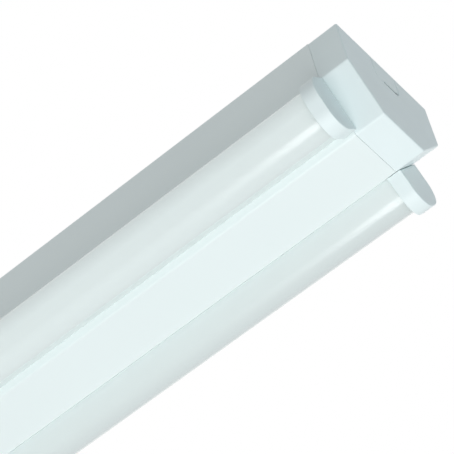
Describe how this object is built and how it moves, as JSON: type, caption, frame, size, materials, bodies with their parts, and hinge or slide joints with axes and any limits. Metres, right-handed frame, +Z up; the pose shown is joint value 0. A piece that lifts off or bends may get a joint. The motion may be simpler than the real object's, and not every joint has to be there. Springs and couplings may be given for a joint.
{
  "type": "ceiling light",
  "caption": "Surface-mounted ceiling batten light: folded white body on a ceiling tray, opal half-round diffuser tubes on its slopes, moulded end caps.",
  "frame": {"origin": "middle of the base tray's back, on the ceiling plane", "axes": "+X along the fitting towards its near end, +Y across it, +Z up into the ceiling"},
  "size_m": [1.2, 0.1324, 0.0837],
  "materials": {
    "white_paint": "smooth white powder coat, satin",
    "white_moulding": "white moulded plastic, satin gloss",
    "opal": "opal diffusing plastic, glossy outside",
    "aluminium": "plain extruded",
    "board": "white solder mask",
    "led": "yellow phosphor window",
    "connector": "natural white plastic",
    "steel": "zinc plated",
    "spring_steel": "bright spring steel",
    "brass": "plain",
    "copper_plate": "copper plated",
    "rubber": "matt black",
    "driver_plastic": "fine-grained white plastic",
    "driver_board": "green solder mask",
    "component": "black",
    "terminal": "light grey plastic",
    "button": "orange plastic",
    "lead_brown": "insulated wire",
    "lead_blue": "insulated wire",
    "lead_green": "green and yellow insulated wire",
    "lead_red": "insulated wire",
    "lead_black": "insulated wire"
  },
  "bodies": {
    "base": {"base_tray": "white_paint", "cable_grommet": "rubber", "terminal_block": "terminal", "terminal_screws": "steel", "cover_clips": "spring_steel", "clip_rivets": "steel"},
    "button_live": {"terminal_button_live": "button"},
    "button_earth": {"terminal_button_earth": "button"},
    "button_neutral": {"terminal_button_neutral": "button"},
    "cover": {"spine_cover": "white_paint", "plug_bracket": "steel", "gear_plug": "terminal", "plug_pins": "brass", "driver_case": "driver_plastic", "driver_lid": "driver_plastic", "driver_board": "driver_board", "driver_components": "component", "driver_input_terminal": "connector", "driver_output_terminal": "connector", "weld_studs": "copper_plate", "stud_nuts": "steel", "earth_tag": "brass", "live_lead": "lead_brown", "neutral_lead": "lead_blue", "earth_lead": "lead_green", "led_carrier_left": "aluminium", "carrier_screws_left": "steel", "led_boards_left": "board", "led_chips_left": "led", "board_screws_left": "steel", "board_links_left": "connector", "feed_connector_left": "connector", "lead_grommet_left": "rubber", "diffuser_left": "opal", "diffuser_cap_left_near": "white_moulding", "diffuser_cap_left_far": "white_moulding", "tube_lead_left_positive": "lead_red", "tube_lead_left_negative": "lead_black", "led_carrier_right": "aluminium", "carrier_screws_right": "steel", "led_boards_right": "board", "led_chips_right": "led", "board_screws_right": "steel", "board_links_right": "connector", "feed_connector_right": "connector", "lead_grommet_right": "rubber", "diffuser_right": "opal", "diffuser_cap_right_near": "white_moulding", "diffuser_cap_right_far": "white_moulding", "tube_lead_right_positive": "lead_red", "tube_lead_right_negative": "lead_black"},
    "end_cap_near": {"end_cap_near": "white_moulding"},
    "end_cap_far": {"end_cap_far": "white_moulding"}
  },
  "joints": [
    {"name": "cover_drop", "type": "slide", "parent": "base", "child": "cover", "axis": [0, 0, -1], "range_m": [0, 0.12]},
    {"name": "end_cap_near_pull", "type": "slide", "parent": "cover", "child": "end_cap_near", "axis": [1, 0, 0], "range_m": [0, 0.03]},
    {"name": "end_cap_far_pull", "type": "slide", "parent": "cover", "child": "end_cap_far", "axis": [-1, 0, 0], "range_m": [0, 0.03]},
    {"name": "button_live_press", "type": "slide", "parent": "base", "child": "button_live", "axis": [0, 0, 1], "range_m": [0, 0.0015], "stiffness_N_per_m": 4000},
    {"name": "button_earth_press", "type": "slide", "parent": "base", "child": "button_earth", "axis": [0, 0, 1], "range_m": [0, 0.0015], "stiffness_N_per_m": 4000},
    {"name": "button_neutral_press", "type": "slide", "parent": "base", "child": "button_neutral", "axis": [0, 0, 1], "range_m": [0, 0.0015], "stiffness_N_per_m": 4000}
  ]
}
